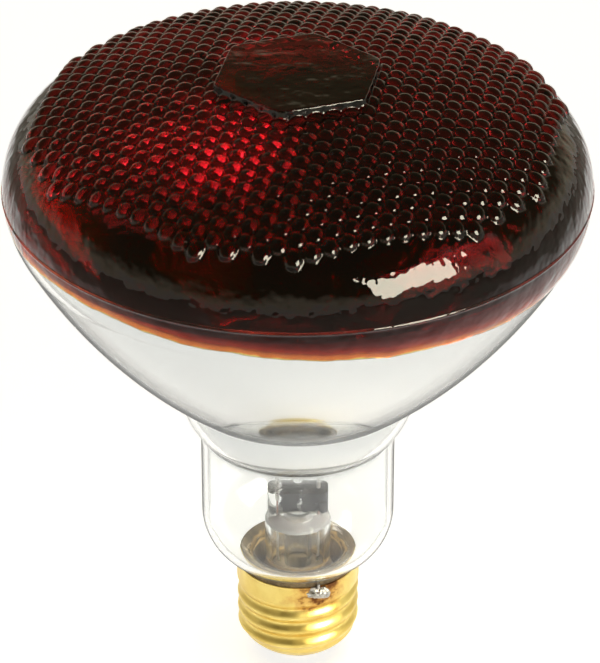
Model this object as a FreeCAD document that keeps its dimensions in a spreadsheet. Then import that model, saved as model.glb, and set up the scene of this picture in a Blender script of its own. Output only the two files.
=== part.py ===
"""Red infrared reflector heat lamp on a medium screw base, as a parametric assembly.

All sizes are in millimetres. The lamp stands on its centre contact: z = 0 is the flat tip of
the contact, the lamp axis is +Z, and the round face looks up.
"""
import FreeCAD, Part
import Sketcher
import math
import os

SIZES = {
    # glass envelope, outside
    "face_height": 140.0,
    "widest_height": 116.1,
    "widest_radius": 59.8,
    "shoulder_curve": 16.8,
    "side_curve": 18.7,
    "bowl_curve": 125.7,
    "bowl_centre_height": 166.0,
    "bulge_curve": 22.0,
    "bulge_centre_radius": 3.65,
    "bulge_centre_height": 71.3,
    "bulge_corner": 1.5,
    "neck_radius": 20.5,
    "neck_corner": 12.25,
    "neck_corner_height": 36.9,
    "neck_top": 58.0,
    "seal_radius": 11.0,
    "seal_height": 14.0,
    "glass_wall": 1.3,
    # window on the face
    "window_radius": 17.6,
    "window_turn": 19.0,
    "window_base": 138.9,
    "window_rise": 1.95,
    # coatings
    "ruby_skin": 0.15,
    "ruby_edge_height": 109.5,
    "mirror_skin": 0.1,
    "mirror_low": 47.0,
    "mirror_high": 113.5,
    # stem
    "flare_radius": 9.65,
    "flare_tube_radius": 7.1,
    "flare_wall": 1.2,
    "flare_throat_height": 22.0,
    "press_height": 34.0,
    "press_top": 41.6,
    "press_width": 13.0,
    "press_depth": 5.4,
    "press_round": 1.6,
    "press_web_edge": 0.5,
    "press_web_low": 1.2,
    "press_web_radius": 4.8,
    "press_web_high": 2.6,
    "press_web_top": 3.0,
    "exhaust_radius": 3.0,
    "exhaust_wall": 0.8,
    "exhaust_tip": 6.0,
    "exhaust_taper": 4.0,
    "exhaust_sink": 1.2,
    "exhaust_tip_radius": 1.4,
    "exhaust_tip_round": 0.6,
    "exhaust_tip_floor": 1.6,
    "exhaust_tip_bore": 4.4,
    "arbor_radius": 1.4,
    "arbor_height": 64.0,
    "button_radius": 2.6,
    "button_half_height": 1.0,
    # lead-in wires
    "lead_spacing": 4.4,
    "lead_radius": 0.45,
    "lead_root_height": 39.0,
    "lead_knee_height": 50.0,
    "lead_top_height": 75.8,
    "seal_wire_radius": 0.25,
    "seal_wire_height": 35.0,
    "outer_lead_radius": 0.3,
    "side_lead_low": 12.6,
    "side_lead_radius": 11.5,
    "side_lead_top": 24.75,
    "side_lead_hook": 13.62,
    "side_lead_end": 23.2,
    "centre_lead_turn": 7.0,
    "centre_lead_drop": 4.2,
    "centre_lead_end": 0.75,
    # filament
    "filament_height": 77.0,
    "filament_radius": 12.0,
    "filament_coil_radius": 0.8,
    "support_radius": 0.25,
    "support_root": 1.8,
    "support_top_height": 75.9,
    # screw base
    "sheet": 0.3,
    "collar_radius": 13.2,
    "collar_low": 19.4,
    "rim_height": 24.0,
    "thread_pitch": 3.629,
    "thread_radius": 12.7,
    "thread_depth": 0.8,
    "thread_turn": 227.0,
    "shell_low": 4.2,
    "shell_low_radius": 10.2,
    "shell_round": 4.3,
    "shell_overlap": 0.5,
    "thread_start": 1.6,
    "thread_swell": 2.4,
    "thread_end": 0.3,
    "thread_fade": 1.2,
    "collar_climb": 0.8,
    "cement_low": 15.0,
    "cement_high": 24.2,
    "cement_radius": 12.0,
    "cement_rim_radius": 12.88,
    "cement_rim_low": 20.0,
    # bottom end
    "insulator_high": 8.0,
    "insulator_seat_radius": 9.8,
    "insulator_seat_height": 4.0,
    "insulator_low": 1.4,
    "insulator_low_radius": 6.6,
    "insulator_cup_radius": 7.0,
    "insulator_cup_depth": 4.6,
    "insulator_hole": 1.2,
    "eyelet_radius": 4.8,
    "eyelet_low": 0.7,
    "eyelet_high": 1.9,
    "eyelet_hole": 0.35,
    "eyelet_corner": 0.4,
    "solder_radius": 3.6,
    "solder_crown_radius": 2.9,
    "solder_crown_height": 0.3,
    "solder_flat_radius": 1.8,
    # solder on the rim
    "rim_solder_turn": -71.0,
    "rim_solder_reach": 13.15,
    "rim_solder_height": 22.6,
    "rim_solder_thick": 1.15,
    "rim_solder_wide": 2.9,
    "rim_solder_tall": 1.75,
    "rim_solder_clear": 10.0,
}

SUPPORT_ANGLES = (45, 90, 135)
THREAD_TURN_STEPS = 48
THREAD_HEIGHT_STEPS = 48

document = FreeCAD.newDocument("heat_lamp")
sizes = document.addObject("Spreadsheet::Sheet", "sizes")
pieces = []


def fill_sheet():
    """Writes each driving size to the sheet with its alias."""
    for row, (alias, size) in enumerate(SIZES.items(), start=1):
        sizes.set(f"A{row}", alias.replace("_", " "))
        sizes.set(f"B{row}", str(size))
        sizes.setAlias(f"B{row}", alias)
    document.recompute()


def number(formula):
    """What a sum or difference of sheet names and plain numbers comes to."""
    total = 0.0
    sign = 1.0
    for word in formula.split():
        if word in ("+", "-"):
            sign = 1.0 if word == "+" else -1.0
        else:
            total += sign * (SIZES[word] if word in SIZES else float(word))
    return total


def cell(formula):
    """The same formula as an expression that reads the sheet."""
    words = [f"sizes.{word}" if word in SIZES else word for word in formula.split()]
    return " ".join(words)


def keep(piece, label):
    """Names a finished piece and lists it for export."""
    piece.Label = label
    pieces.append(piece)
    return piece


# Sketches and features


def new_body(label):
    body = document.addObject("PartDesign::Body", label + "_body")
    return keep(body, label)


def new_sketch(body, name, role="XZ_Plane", lift=None):
    """A sketch on one of the body's own origin planes, lifted along its normal if asked."""
    plane = next(item for item in body.Origin.OriginFeatures if item.Role == role)
    sketch = body.newObject("Sketcher::SketchObject", name)
    sketch.AttachmentSupport = [(plane, "")]
    sketch.MapMode = "FlatFace"
    if lift is not None:
        sketch.setExpression("AttachmentOffset.Base.z", cell(lift))
    return sketch


def join(sketch, kind, *ends):
    sketch.addConstraint(Sketcher.Constraint(kind, *ends))


def tie(sketch, formula, kind, *ends):
    """Adds a dimension that follows the sheet."""
    index = sketch.addConstraint(Sketcher.Constraint(kind, *ends, number(formula)))
    sketch.setExpression(f"Constraints[{index}]", cell(formula))


def place(sketch, geometry, point, across, up):
    """Holds one point of a line or arc across and up from the origin by two formulas."""
    if across == "0":
        join(sketch, "PointOnObject", geometry, point, -2)
    else:
        tie(sketch, across, "DistanceX", -1, 1, geometry, point)
    if up == "0":
        join(sketch, "PointOnObject", geometry, point, -1)
    else:
        tie(sketch, up, "DistanceY", -1, 1, geometry, point)


def draw_polygon(sketch, corners):
    """A closed outline through corners given as pairs of formulas."""
    points = [FreeCAD.Vector(number(across), number(up), 0) for across, up in corners]
    followers = points[1:] + points[:1]
    for start, end in zip(points, followers):
        sketch.addGeometry(Part.LineSegment(start, end))
    for index, (across, up) in enumerate(corners):
        join(sketch, "Coincident", index - 1 if index else len(corners) - 1, 2, index, 1)
        place(sketch, index, 1, across, up)


def draw_circle(sketch, across, up, radius):
    centre = FreeCAD.Vector(number(across), number(up), 0)
    circle = sketch.addGeometry(Part.Circle(centre, FreeCAD.Vector(0, 0, 1), number(radius)))
    tie(sketch, radius, "Radius", circle)
    place(sketch, circle, 3, across, up)


def turn(body, sketch, kind="PartDesign::Revolution"):
    """Turns a sketch about the lamp axis, adding or removing material."""
    feature = body.newObject(kind, sketch.Name + "_turn")
    feature.Profile = sketch
    feature.ReferenceAxis = (sketch, ["V_Axis"])
    feature.Angle = 360.0
    sketch.Visibility = False
    return feature


def turned(label, corners):
    """A piece turned from one closed outline."""
    body = new_body(label)
    sketch = new_sketch(body, label + "_outline")
    draw_polygon(sketch, corners)
    turn(body, sketch)
    return body


def extrude(body, sketch, kind, formula, reverse=False):
    feature = body.newObject(kind, sketch.Name + "_run")
    feature.Profile = sketch
    feature.Reversed = reverse
    feature.setExpression("Length", cell(formula))
    return feature


# Glass envelope and its coatings


def arc(centre, radius, start, end):
    """A counter-clockwise arc between two angles in degrees."""
    circle = Part.Circle(FreeCAD.Vector(*centre, 0), FreeCAD.Vector(0, 0, 1), radius)
    return Part.ArcOfCircle(circle, math.radians(start), math.radians(end))


def line(start, end):
    return Part.LineSegment(FreeCAD.Vector(*start, 0), FreeCAD.Vector(*end, 0))


def draw_envelope(sketch, layers=(), outward=False):
    """Half of the bulb's outline, moved in or out from the outer surface by some layers.

    The curves run from the middle of the face round the shoulder, the side, the reflector
    bowl, the bulge and the neck to the seal, and keep their centres however far they move.
    """
    shrink, grow = (" + ", " - ") if outward else (" - ", " + ")
    less = "".join(shrink + layer for layer in layers)
    more = "".join(grow + layer for layer in layers)
    gap = number("0" + more)

    # near-final shape, worked out from the sizes, for the constraints to settle
    crease_lean = -51
    crease_turn = (128, 173)
    bulge_low, bulge_high = -40, -7
    neck_low = -75
    crease_drop, neck_top_drop, seal_top_drop = 3, 14, 12
    top = SIZES["face_height"]
    widest = SIZES["widest_height"]
    shoulder = (number("widest_radius - shoulder_curve"), widest)
    side = (number("widest_radius - side_curve"), widest)
    bulge = (SIZES["bulge_centre_radius"], SIZES["bulge_centre_height"])
    corner_side = number("bulge_centre_radius + bulge_curve + bulge_corner")
    corner = (corner_side, bulge[1] - crease_drop)
    neck = (number("neck_radius - neck_corner"), SIZES["neck_corner_height"])
    rise = top - widest
    curve = SIZES["shoulder_curve"]
    face_curve = (shoulder[0] ** 2 + rise ** 2 - curve ** 2) / (2 * (rise - curve))
    lean = math.degrees(math.atan2(widest - top + face_curve, shoulder[0]))
    bowl_reach = number("bowl_curve - side_curve")
    bowl_rise = number("bowl_centre_height - widest_height")
    bowl_lean = math.degrees(math.asin(bowl_rise / bowl_reach))
    bowl = (side[0] - math.sqrt(bowl_reach ** 2 - bowl_rise ** 2), SIZES["bowl_centre_height"])
    neck_side = SIZES["neck_radius"] - gap
    seal_side = SIZES["seal_radius"] - gap
    seal = SIZES["seal_height"]
    sketch.addGeometry(arc((0, top - face_curve), face_curve - gap, lean, 90))
    sketch.addGeometry(arc(shoulder, curve - gap, 0, lean))
    sketch.addGeometry(arc(side, SIZES["side_curve"] - gap, -bowl_lean, 0))
    sketch.addGeometry(arc(bowl, SIZES["bowl_curve"] - gap, crease_lean, -bowl_lean))
    sketch.addGeometry(arc(corner, SIZES["bulge_corner"] + gap, *crease_turn))
    sketch.addGeometry(arc(bulge, SIZES["bulge_curve"] - gap, bulge_low, bulge_high))
    sketch.addGeometry(line((neck_side, bulge[1] - neck_top_drop), (neck_side, neck[1])))
    sketch.addGeometry(arc(neck, SIZES["neck_corner"] - gap, neck_low, 0))
    sketch.addGeometry(line((seal_side, neck[1] - seal_top_drop), (seal_side, seal)))
    sketch.addGeometry(line((seal_side, seal), (0, seal)))
    sketch.addGeometry(line((0, seal), (0, top - gap)))

    face_arc, shoulder_arc, side_arc, bowl_arc, corner_arc, bulge_arc = range(6)
    neck_line, neck_arc, seal_line, floor_line, axis_line = range(6, 11)
    join(sketch, "Tangent", face_arc, 1, shoulder_arc, 2)
    join(sketch, "Coincident", shoulder_arc, 1, side_arc, 2)
    join(sketch, "Tangent", side_arc, 1, bowl_arc, 2)
    join(sketch, "Tangent", bowl_arc, 1, corner_arc, 1)
    join(sketch, "Tangent", corner_arc, 2, bulge_arc, 2)
    join(sketch, "Coincident", bulge_arc, 1, neck_line, 1)
    join(sketch, "Tangent", neck_line, 2, neck_arc, 2)
    join(sketch, "Coincident", neck_arc, 1, seal_line, 1)
    join(sketch, "Coincident", seal_line, 2, floor_line, 1)
    join(sketch, "Coincident", floor_line, 2, axis_line, 1)
    join(sketch, "Coincident", axis_line, 2, face_arc, 2)
    join(sketch, "PointOnObject", face_arc, 3, -2)
    place(sketch, face_arc, 2, "0", "face_height" + less)
    place(sketch, shoulder_arc, 3, "widest_radius - shoulder_curve", "widest_height")
    tie(sketch, "shoulder_curve" + less, "Radius", shoulder_arc)
    join(sketch, "Horizontal", shoulder_arc, 3, shoulder_arc, 1)
    place(sketch, side_arc, 3, "widest_radius - side_curve", "widest_height")
    tie(sketch, "bowl_curve" + less, "Radius", bowl_arc)
    tie(sketch, "bowl_centre_height", "DistanceY", -1, 1, bowl_arc, 3)
    tie(sketch, "bulge_corner" + more, "Radius", corner_arc)
    place(sketch, bulge_arc, 3, "bulge_centre_radius", "bulge_centre_height")
    tie(sketch, "bulge_curve" + less, "Radius", bulge_arc)
    join(sketch, "Vertical", neck_line)
    place(sketch, neck_arc, 3, "neck_radius - neck_corner", "neck_corner_height")
    tie(sketch, "neck_corner" + less, "Radius", neck_arc)
    join(sketch, "Vertical", seal_line)
    place(sketch, seal_line, 2, "seal_radius" + less, "seal_height")
    place(sketch, floor_line, 2, "0", "seal_height")


def envelope_layer(label, outside, inside, outward=False):
    """A body between two copies of the bulb's outline."""
    body = new_body(label)
    outer = new_sketch(body, label + "_outside")
    draw_envelope(outer, outside, outward)
    turn(body, outer)
    inner = new_sketch(body, label + "_inside")
    draw_envelope(inner, inside)
    turn(body, inner, "PartDesign::Groove")
    return body


def trim(body, low, high):
    """Cuts everything between two heights away from a body."""
    sketch = new_sketch(body, body.Label + "_trim" + str(len(body.Group)))
    reach = "widest_radius + widest_radius"
    draw_polygon(sketch, [("0", low), (reach, low), (reach, high), ("0", high)])
    turn(body, sketch, "PartDesign::Groove")


def draw_window(sketch, radius):
    """The six-sided window of the face, turned to the angle of the bead rows."""
    sketch.setExpression("AttachmentOffset.Rotation.Angle", cell("window_turn"))
    reach = number(radius)
    corners = [
        FreeCAD.Vector(
            reach * math.cos(math.radians(60 * step)), reach * math.sin(math.radians(60 * step)), 0
        )
        for step in range(6)
    ]
    for step in range(6):
        sketch.addGeometry(Part.LineSegment(corners[step], corners[(step + 1) % 6]))
    ring = sketch.addGeometry(
        Part.Circle(FreeCAD.Vector(0, 0, 0), FreeCAD.Vector(0, 0, 1), reach), True
    )
    join(sketch, "Coincident", ring, 3, -1, 1)
    tie(sketch, radius, "Radius", ring)
    for step in range(6):
        join(sketch, "Coincident", step, 2, (step + 1) % 6, 1)
        join(sketch, "PointOnObject", step, 1, ring)
    for step in range(5):
        join(sketch, "Equal", step, step + 1)
    join(sketch, "PointOnObject", 0, 1, -1)


def make_bulb_glass():
    """The face, bowl and bulge of the envelope, down to just above the straight neck."""
    body = envelope_layer("bulb_glass", [], ["glass_wall"])
    window = new_sketch(body, "window_land", "XY_Plane", "window_base")
    draw_window(window, "window_radius")
    extrude(body, window, "PartDesign::Pad", "window_rise")
    trim(body, "0", "neck_top")


def make_neck_glass():
    """The straight neck, with the foot of the bulge above it and the rounded end below."""
    body = envelope_layer("neck_glass", [], ["glass_wall"])
    trim(body, "neck_top", "face_height + window_rise")


def make_ruby_coating():
    """The red lacquer over the face and shoulder, down to its lower edge."""
    body = new_body("ruby_coating")
    outer = new_sketch(body, "ruby_outside")
    draw_envelope(outer, ["ruby_skin"], outward=True)
    turn(body, outer)
    cap = new_sketch(body, "ruby_window_cap", "XY_Plane", "window_base")
    draw_window(cap, "window_radius + ruby_skin")
    extrude(body, cap, "PartDesign::Pad", "window_rise + ruby_skin")
    inner = new_sketch(body, "ruby_inside")
    draw_envelope(inner)
    turn(body, inner, "PartDesign::Groove")
    hollow = new_sketch(body, "ruby_window_hollow", "XY_Plane", "window_base")
    draw_window(hollow, "window_radius")
    extrude(body, hollow, "PartDesign::Pocket", "window_rise", reverse=True)
    trim(body, "0", "ruby_edge_height")


def make_reflector_coating():
    """The aluminium film inside the glass, from the neck to just under the widest ring."""
    body = envelope_layer("reflector_coating", ["glass_wall"], ["glass_wall", "mirror_skin"])
    trim(body, "mirror_high", "face_height")
    trim(body, "0", "mirror_low")


# Stem: flare, press, exhaust tube and arbor


def cut(label, blank, tools):
    """A piece with the shapes of others taken out of it, one after another."""
    pieces.remove(blank)
    blank.Label = label + "_blank"
    result = blank
    for tool in tools:
        less = document.addObject("Part::Cut", label + "_less_" + tool.Name)
        less.Base = result
        less.Tool = tool
        result = less
    return keep(result, label)


def wire(label, route, radius):
    """A round wire along straight runs through points given as numbers."""
    spine = Part.makePolygon([FreeCAD.Vector(*point) for point in route])
    start = FreeCAD.Vector(*route[0])
    heading = FreeCAD.Vector(*route[1]) - start
    circle = Part.Wire(Part.makeCircle(SIZES[radius], start, heading))
    feature = document.addObject("Part::Feature", label + "_wire")
    feature.Shape = spine.makePipeShell([circle], True, False, 1)
    return keep(feature, label)


def make_stem_flare():
    return turned("stem_flare", [
        ("flare_radius - flare_wall", "seal_height"),
        ("flare_radius", "seal_height"),
        ("flare_radius", "seal_height + flare_wall"),
        ("flare_tube_radius", "flare_throat_height"),
        ("flare_tube_radius", "press_height"),
        ("flare_tube_radius - flare_wall", "press_height"),
        ("flare_tube_radius - flare_wall", "flare_throat_height"),
    ])


def make_stem_press():
    """The flattened glass that seals the wires, on a round web that closes the flare."""
    body = new_body("stem_press")
    block = new_sketch(body, "press_block", "XY_Plane", "press_height")
    half = FreeCAD.Vector(number("press_width") / 2, number("press_depth") / 2, 0)
    corners = [(half.x, half.y), (-half.x, half.y), (-half.x, -half.y), (half.x, -half.y)]
    for step, corner in enumerate(corners):
        block.addGeometry(line(corner, corners[(step + 1) % 4]))
    for step in range(4):
        join(block, "Coincident", step, 2, (step + 1) % 4, 1)
        join(block, "Vertical" if step % 2 else "Horizontal", step)
    join(block, "Symmetric", 0, 1, 1, 2, -1, 1)
    tie(block, "press_width", "DistanceX", 0, 2, 0, 1)
    tie(block, "press_depth", "DistanceY", 1, 2, 1, 1)
    block_run = extrude(body, block, "PartDesign::Pad", "press_top - press_height")
    upright = upright_edges(block_run)
    fillet = body.newObject("PartDesign::Fillet", "press_rounding")
    fillet.Base = (block_run, upright)
    fillet.setExpression("Radius", cell("press_round"))
    shoulder = new_sketch(body, "press_shoulder")
    draw_polygon(shoulder, [
        ("0", "press_height"),
        ("flare_tube_radius", "press_height"),
        ("flare_tube_radius - press_web_edge", "press_height + press_web_low"),
        ("press_web_radius", "press_height + press_web_high"),
        ("0", "press_height + press_web_top"),
    ])
    turn(body, shoulder)
    bore = new_sketch(body, "exhaust_socket", "XY_Plane", "press_height")
    draw_circle(bore, "0", "0", "exhaust_radius")
    extrude(body, bore, "PartDesign::Pocket", "exhaust_sink", reverse=True)
    return body


def upright_edges(feature):
    """Names of a block's edges that stand along the lamp axis."""
    document.recompute()
    found = []
    for index, edge in enumerate(feature.Shape.Edges, start=1):
        start, end = (vertex.Point for vertex in edge.Vertexes)
        if abs(start.x - end.x) + abs(start.y - end.y) < 1e-6:
            found.append(f"Edge{index}")
    return found


def make_exhaust_tube():
    """The tube that the bulb was pumped through, tipped off inside the base."""
    bore = "exhaust_radius - exhaust_wall"
    return turned("exhaust_tube", [
        ("0", "exhaust_tip"),
        ("exhaust_tip_radius", "exhaust_tip + exhaust_tip_round"),
        ("exhaust_radius", "exhaust_tip + exhaust_taper"),
        ("exhaust_radius", "press_height + exhaust_sink"),
        (bore, "press_height + exhaust_sink"),
        (bore, "exhaust_tip + exhaust_tip_bore"),
        ("0", "exhaust_tip + exhaust_tip_floor"),
    ])


def make_arbor():
    """The glass rod above the press and the button at its end."""
    return turned("arbor", [
        ("0", "press_top"),
        ("arbor_radius", "press_top"),
        ("arbor_radius", "arbor_height - button_radius"),
        ("button_radius", "arbor_height - button_half_height"),
        ("button_radius", "arbor_height + button_half_height"),
        ("arbor_radius", "arbor_height + button_radius"),
        ("0", "arbor_height + button_radius"),
    ])


# Wires and filament


def make_leads():
    """Inner lead, seal wire and outer lead on each side. Returns those the press holds."""
    held = []
    foot = SIZES["seal_wire_height"]
    root = SIZES["lead_root_height"]
    for name, side in (("left", -1), ("right", 1)):
        column = side * SIZES["lead_spacing"]
        held.append(wire(f"inner_lead_{name}", [
            (column, 0, root),
            (column, 0, SIZES["lead_knee_height"]),
            (side * SIZES["filament_radius"], 0, SIZES["lead_top_height"]),
        ], "lead_radius"))
        held.append(wire(f"seal_wire_{name}", [
            (column, 0, foot),
            (column, 0, root),
        ], "seal_wire_radius"))
    column = SIZES["lead_spacing"]
    solder = math.radians(SIZES["rim_solder_turn"])
    outward = (math.cos(solder), math.sin(solder))
    reach = SIZES["side_lead_radius"]
    hook = SIZES["side_lead_hook"]
    low = SIZES["side_lead_low"]
    top = SIZES["side_lead_top"]
    side_lead = wire("side_outer_lead", [
        (column, 0, foot),
        (column, 0, low),
        (reach * outward[0], reach * outward[1], low),
        (reach * outward[0], reach * outward[1], top),
        (hook * outward[0], hook * outward[1], top),
        (hook * outward[0], hook * outward[1], SIZES["side_lead_end"]),
    ], "outer_lead_radius")
    centre_lead = wire("centre_outer_lead", [
        (-column, 0, foot),
        (-column, 0, SIZES["centre_lead_turn"]),
        (0, 0, SIZES["centre_lead_drop"]),
        (0, 0, SIZES["centre_lead_end"]),
    ], "outer_lead_radius")
    return held, side_lead, centre_lead


def make_filament():
    """The tungsten coil's outline, bent in a half ring at the mirror's focus."""
    coil = document.addObject("Part::Torus", "filament_coil")
    coil.setExpression("Radius1", cell("filament_radius"))
    coil.setExpression("Radius2", cell("filament_coil_radius"))
    coil.Angle3 = 180
    coil.setExpression("Placement.Base.z", cell("filament_height"))
    return keep(coil, "filament")


def make_supports():
    """Three molybdenum wires that fan from the button to the filament."""
    root = SIZES["support_root"]
    reach = SIZES["filament_radius"]
    fan = []
    for angle in SUPPORT_ANGLES:
        across, along = math.cos(math.radians(angle)), math.sin(math.radians(angle))
        arm = wire(f"support_{angle}", [
            (root * across, root * along, SIZES["arbor_height"]),
            (reach * across, reach * along, SIZES["support_top_height"]),
        ], "support_radius")
        pieces.remove(arm)
        fan.append(arm)
    group = document.addObject("Part::Compound", "support_fan")
    group.Links = fan
    return keep(group, "filament_supports")


# Screw base


def ease(amount):
    """Smooth step from 0 to 1."""
    amount = min(max(amount, 0.0), 1.0)
    return amount * amount * (3 - 2 * amount)


def thread_radius_at(angle, height):
    """Outside radius of the rolled thread at an angle in degrees and a height."""
    low = SIZES["shell_low"]
    top = SIZES["collar_low"]
    wave = math.cos(
        math.radians(360 * height / SIZES["thread_pitch"] - angle - SIZES["thread_turn"])
    )
    swell = ease((height - low - SIZES["thread_start"]) / SIZES["thread_swell"])
    swell *= ease((top - SIZES["thread_end"] - height) / SIZES["thread_fade"])
    drop = max(0.0, 1 - (height - low) / SIZES["shell_round"])
    mean = SIZES["thread_radius"] - (SIZES["thread_radius"] - SIZES["shell_low_radius"]) * drop ** 2
    climb = ease((height - top) / SIZES["collar_climb"] + 1)
    mean += (SIZES["collar_radius"] - SIZES["sheet"] / 2 - mean) * climb
    return mean + SIZES["thread_depth"] / 2 * wave * swell


def thread_surface(inset):
    """The rolled thread as one smooth surface, moved inwards by the inset."""
    low = SIZES["shell_low"]
    high = SIZES["collar_low"] + SIZES["shell_overlap"]
    rows = []
    for turn_step in range(THREAD_TURN_STEPS + 1):
        angle = 360 * turn_step / THREAD_TURN_STEPS
        across, along = math.cos(math.radians(angle)), math.sin(math.radians(angle))
        row = []
        for level in range(THREAD_HEIGHT_STEPS + 1):
            height = low + (high - low) * level / THREAD_HEIGHT_STEPS
            radius = thread_radius_at(angle, height) - inset
            row.append(FreeCAD.Vector(radius * across, radius * along, height))
        rows.append(row)
    surface = Part.BSplineSurface()
    surface.interpolate(rows)
    return surface


def make_screw_shell():
    """The rolled brass thread and the plain collar above it."""
    outside = thread_surface(0.0)
    inside = thread_surface(SIZES["sheet"])
    faces = [outside.toShape(), inside.toShape()]
    for end in (outside.bounds()[2], outside.bounds()[3]):
        rings = [surface.vIso(end).toShape() for surface in (outside, inside)]
        faces.append(Part.makeRuledSurface(*rings))
    shell = Part.makeShell(faces)
    shell.sewShape()
    solid = Part.makeSolid(shell)
    if solid.Volume < 0:
        solid.reverse()
    thread = document.addObject("Part::Feature", "thread_sheet")
    thread.Shape = solid
    collar = turned("collar", [
        ("collar_radius - sheet", "collar_low"),
        ("collar_radius", "collar_low"),
        ("collar_radius", "rim_height"),
        ("collar_radius - sheet", "rim_height"),
    ])
    pieces.remove(collar)
    fusion = document.addObject("Part::Fuse", "screw_shell_fusion")
    fusion.Base = thread
    fusion.Tool = collar
    return keep(fusion, "screw_shell")


def make_cement():
    return turned("basing_cement", [
        ("seal_radius", "cement_low"),
        ("cement_radius", "cement_low"),
        ("cement_radius", "cement_rim_low"),
        ("cement_rim_radius", "cement_rim_low"),
        ("cement_rim_radius", "cement_high"),
        ("seal_radius", "cement_high"),
    ])


def make_insulator():
    return turned("base_insulator", [
        ("insulator_hole", "eyelet_high"),
        ("eyelet_radius", "eyelet_high"),
        ("eyelet_radius", "insulator_low"),
        ("insulator_low_radius", "insulator_low"),
        ("insulator_seat_radius", "insulator_seat_height"),
        ("insulator_seat_radius", "insulator_high"),
        ("insulator_cup_radius", "insulator_high"),
        ("insulator_hole", "insulator_cup_depth"),
    ])


def make_contact_plate():
    return turned("contact_plate", [
        ("eyelet_hole", "eyelet_low"),
        ("eyelet_radius - eyelet_corner", "eyelet_low"),
        ("eyelet_radius", "eyelet_low + eyelet_corner"),
        ("eyelet_radius", "eyelet_high"),
        ("eyelet_hole", "eyelet_high"),
    ])


def make_centre_solder():
    return turned("centre_solder", [
        ("0", "0"),
        ("solder_flat_radius", "0"),
        ("solder_crown_radius", "solder_crown_height"),
        ("solder_radius", "eyelet_low"),
        ("0", "eyelet_low"),
    ])


def make_rim_solder(lead):
    """A flattened drop of solder on the collar, over the end of the side lead."""
    drop = document.addObject("Part::Ellipsoid", "solder_drop")
    drop.setExpression("Radius1", cell("rim_solder_tall"))
    drop.setExpression("Radius2", cell("rim_solder_thick"))
    drop.setExpression("Radius3", cell("rim_solder_wide"))
    turn_angle = math.radians(SIZES["rim_solder_turn"])
    reach = SIZES["rim_solder_reach"]
    drop.Placement = FreeCAD.Placement(
        FreeCAD.Vector(
            reach * math.cos(turn_angle), reach * math.sin(turn_angle), SIZES["rim_solder_height"]
        ),
        FreeCAD.Rotation(FreeCAD.Vector(0, 0, 1), SIZES["rim_solder_turn"]),
    )
    collar = document.addObject("Part::Cylinder", "solder_seat")
    collar.setExpression("Radius", cell("collar_radius"))
    collar.setExpression("Height", cell("rim_height + rim_solder_clear"))
    keep(drop, "solder_drop")
    return cut("rim_solder", drop, [collar, lead])


def check_and_export():
    """Stops on any faulty feature, then writes one STEP file for each piece."""
    document.recompute()
    for item in document.Objects:
        if "Invalid" in item.State or "Error" in item.State:
            raise RuntimeError(f"{item.Label} did not compute: {item.State}")
    os.makedirs("parts", exist_ok=True)
    for piece in pieces:
        shape = piece.Shape
        if shape.isNull() or not shape.isValid() or not shape.Solids:
            raise RuntimeError(f"{piece.Label} has no sound solid")
    for piece in pieces:
        piece.Shape.exportStep(os.path.join("parts", piece.Label + ".step"))
        print(f"{piece.Label}: {len(piece.Shape.Solids)} solid, {piece.Shape.Volume:.1f} mm3")


fill_sheet()
make_bulb_glass()
make_neck_glass()
make_ruby_coating()
make_reflector_coating()
make_stem_flare()
press = make_stem_press()
make_exhaust_tube()
rod = make_arbor()
sealed_wires, side_lead, centre_lead = make_leads()
cut("stem_press", press, sealed_wires + [side_lead, centre_lead])
make_filament()
cut("arbor", rod, [make_supports()])
cut("basing_cement", make_cement(), [side_lead])
make_screw_shell()
make_insulator()
make_contact_plate()
make_centre_solder()
make_rim_solder(side_lead)
check_and_export()
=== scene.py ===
"""The look of the red infrared reflector heat lamp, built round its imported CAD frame.

Blender works in metres. The lamp's own sizes below are in millimetres, and MM turns them over.
"""

import bpy
import bmesh
import math
import random
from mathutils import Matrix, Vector, noise


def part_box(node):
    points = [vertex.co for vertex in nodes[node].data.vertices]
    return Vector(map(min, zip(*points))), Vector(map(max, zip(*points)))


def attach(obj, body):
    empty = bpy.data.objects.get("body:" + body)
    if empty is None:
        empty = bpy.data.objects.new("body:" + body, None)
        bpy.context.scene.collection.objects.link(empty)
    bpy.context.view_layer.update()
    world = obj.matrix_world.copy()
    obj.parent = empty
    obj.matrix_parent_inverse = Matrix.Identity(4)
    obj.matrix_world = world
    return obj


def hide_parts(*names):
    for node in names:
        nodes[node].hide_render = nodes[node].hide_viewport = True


MM = 0.001

# glass envelope, outside
FACE_TOP = 140.0
WIDEST = (59.8, 116.1)
SHOULDER_CURVE = 16.8
SIDE_CURVE = 18.7
BOWL_CURVE = 125.7
BOWL_CENTRE_HEIGHT = 166.0
BULGE_CURVE = 22.0
BULGE_CENTRE = (3.65, 71.3)
CREASE_CURVE = 1.5
FOOT_CURVE = 0.8
NECK_RADIUS = 20.5
NECK_CORNER = 12.25
NECK_CORNER_HEIGHT = 36.9
SEAL_RADIUS = 11.0
SEAL_HEIGHT = 14.0
GLASS_WALL = 1.3

# pressed pattern of the face
ROW_TURN = math.radians(19.0)
BEAD_PITCH = 3.65
BEAD_CURVE = 2.45
BEAD_SINK = 0.7
SINK_REACH = (49.0, 59.0)
BEAD_FIELD = 54.3
BEAD_ROWS = 16
FIELD_EDGE = 57.2
STEPS_PER_BEAD = 10
RUBY_ROWS = 24
WINDOW_RADIUS = 17.6
WINDOW_TOP = 140.98
WINDOW_WALL = 0.55
WINDOW_CORNERS = 30
SEAM_HEIGHT = 115.9
SEAM_RIDGE = 0.22
SEAM_WIDTH = 0.3
SEAM_REACH = 0.8

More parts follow.
